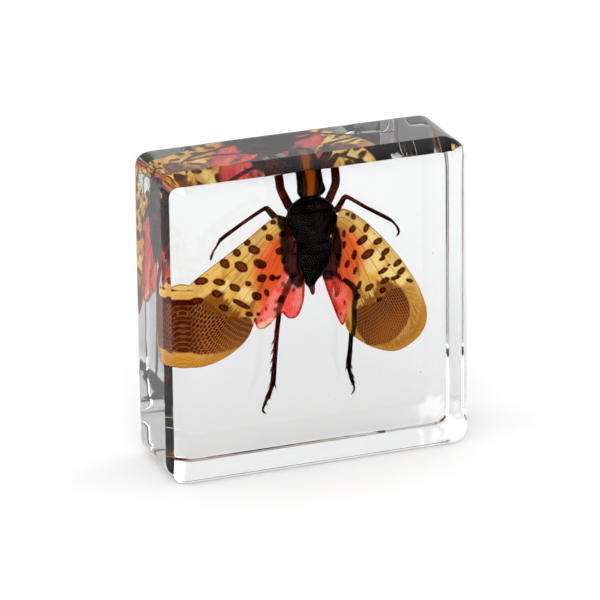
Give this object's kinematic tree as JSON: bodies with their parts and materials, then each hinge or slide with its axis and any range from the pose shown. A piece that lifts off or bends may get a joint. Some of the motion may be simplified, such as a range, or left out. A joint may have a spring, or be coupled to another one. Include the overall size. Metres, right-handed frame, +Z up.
{
  "type": "insect in resin block",
  "caption": "Square upright block of clear cast resin with a spread, spotted lanternfly sealed inside, for display on a desk or shelf.",
  "frame": {"origin": "middle of the underside, on the ground", "axes": "+X to the right across the block, +Y from the front face to the back, +Z up; the insect's head points up and its back faces -Y"},
  "size_m": [0.044, 0.0144, 0.0442],
  "materials": {
    "clear_resin": "polished, water clear",
    "dried_insect": "dried chitin and wing membrane, satin"
  },
  "bodies": {
    "root": {"block_front": "clear_resin", "block_back": "clear_resin", "insect": "dried_insect"}
  },
  "joints": []
}
